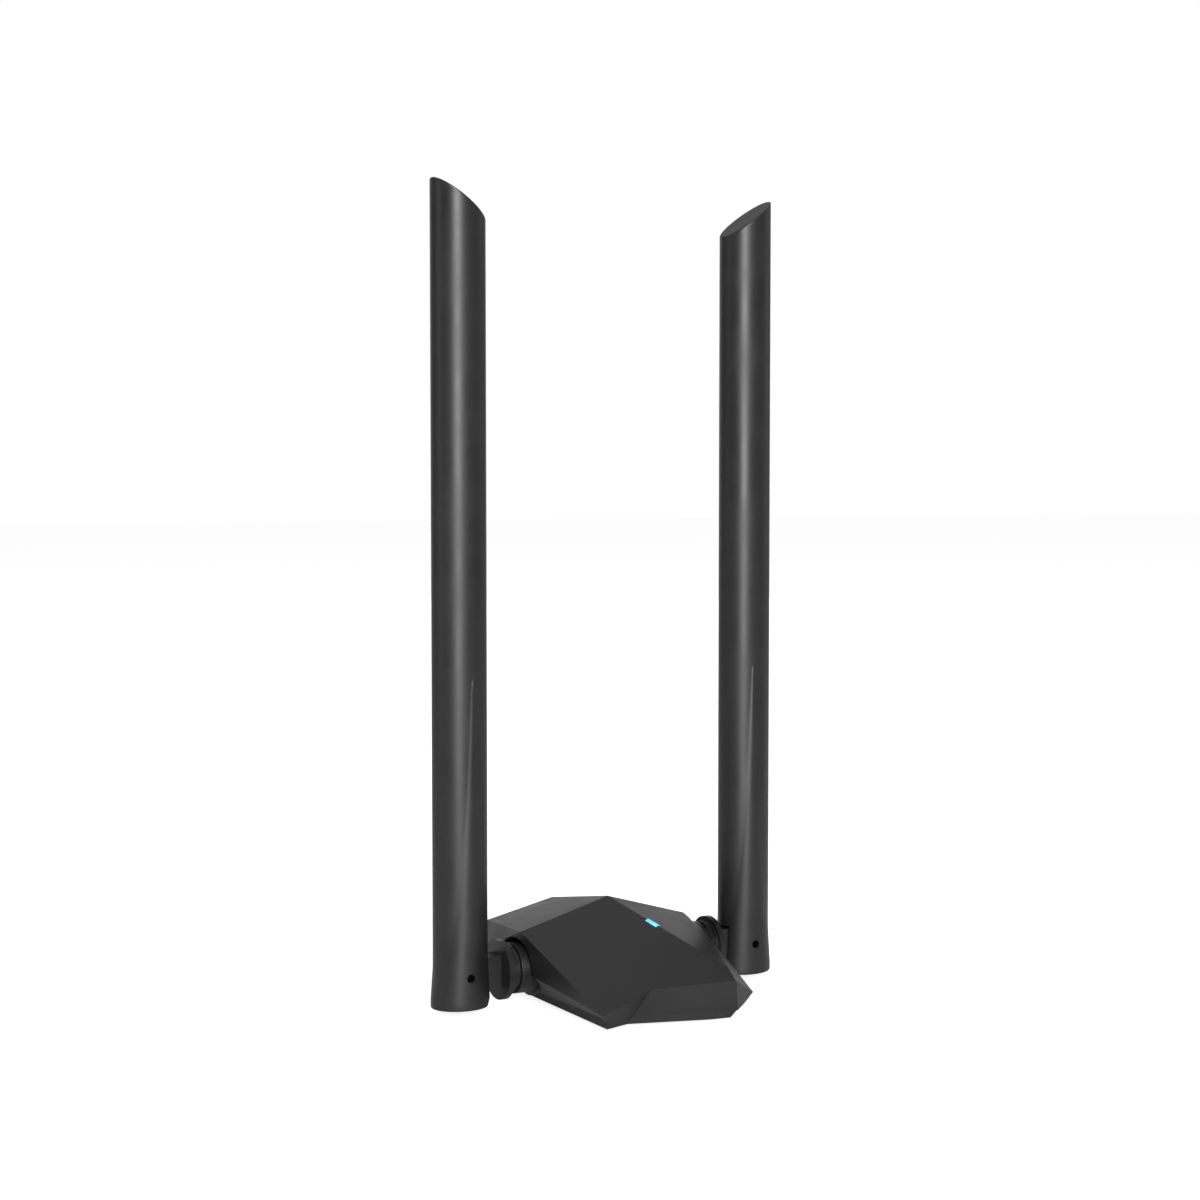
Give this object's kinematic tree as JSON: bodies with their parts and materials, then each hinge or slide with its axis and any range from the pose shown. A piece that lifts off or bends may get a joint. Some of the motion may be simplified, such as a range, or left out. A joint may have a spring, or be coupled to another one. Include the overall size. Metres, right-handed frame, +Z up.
{
  "type": "usb wifi adapter",
  "caption": "Desktop USB wireless adapter with a faceted base, a blue status light and two tall paddle antennas that swivel and fold outwards.",
  "frame": {"origin": "centre of the rest pad's underside, below the antennas' swivel axis", "axes": "+Z up along the upright antennas; +X towards the right antenna as seen from the front edge; the front edge with the status light faces -Y and the USB socket faces +Y"},
  "size_m": [0.092, 0.0668, 0.1917],
  "materials": {
    "shell_plastic": "fine matte moulded, near black",
    "cover_plastic": "matte moulded, near black",
    "antenna_plastic": "satin moulded, dark charcoal",
    "swivel_plastic": "satin moulded, black",
    "pad_rubber": "matte",
    "ring_rubber": "matte",
    "lead_black": "smooth jacket",
    "window_blue": "lit light guide, cyan blue",
    "screw_steel": "zinc plated",
    "pin_steel": "black oxide",
    "socket_steel": "drawn steel shell",
    "shield_tin": "tinned",
    "board_green": "solder mask",
    "chip_black": "moulded epoxy",
    "led_white": "resin",
    "contact_gold": "gold plated",
    "radiator_gold": "etched copper strip"
  },
  "bodies": {
    "base": {"top_shell": "shell_plastic", "bottom_cover": "cover_plastic", "rest_pad": "pad_rubber", "cover_screws": "screw_steel", "light_window": "window_blue", "main_board": "board_green", "status_led": "led_white", "radio_shield": "shield_tin", "radio_chip": "chip_black", "crystal": "shield_tin", "usb_socket": "socket_steel", "usb_contacts": "contact_gold", "left_bush": "swivel_plastic", "right_bush": "swivel_plastic", "left_lead_plug": "contact_gold", "right_lead_plug": "contact_gold", "left_board_lead": "lead_black", "right_board_lead": "lead_black"},
    "left_swivel": {"left_knuckle": "swivel_plastic", "left_swivel_clip": "screw_steel", "left_friction_ring": "ring_rubber", "left_swivel_lead": "lead_black"},
    "left_paddle": {"left_antenna": "antenna_plastic", "left_hinge_pins": "pin_steel", "left_radiator": "radiator_gold", "left_antenna_lead": "lead_black"},
    "right_swivel": {"right_knuckle": "swivel_plastic", "right_swivel_clip": "screw_steel", "right_friction_ring": "ring_rubber", "right_swivel_lead": "lead_black"},
    "right_paddle": {"right_antenna": "antenna_plastic", "right_hinge_pins": "pin_steel", "right_radiator": "radiator_gold", "right_antenna_lead": "lead_black"}
  },
  "joints": [
    {"name": "left_swivel_turn", "type": "hinge", "parent": "base", "child": "left_swivel", "pos_m": [-0.02, 0, 0.00915], "axis": [1, 0, 0], "range_deg": [-90, 90]},
    {"name": "left_paddle_fold", "type": "hinge", "parent": "left_swivel", "child": "left_paddle", "pos_m": [-0.03887, 0, 0.00915], "axis": [0, -1, 0], "range_deg": [0, 90]},
    {"name": "right_swivel_turn", "type": "hinge", "parent": "base", "child": "right_swivel", "pos_m": [0.02, 0, 0.00915], "axis": [1, 0, 0], "range_deg": [-90, 90]},
    {"name": "right_paddle_fold", "type": "hinge", "parent": "right_swivel", "child": "right_paddle", "pos_m": [0.03887, 0, 0.00915], "axis": [0, 1, 0], "range_deg": [0, 90]}
  ]
}
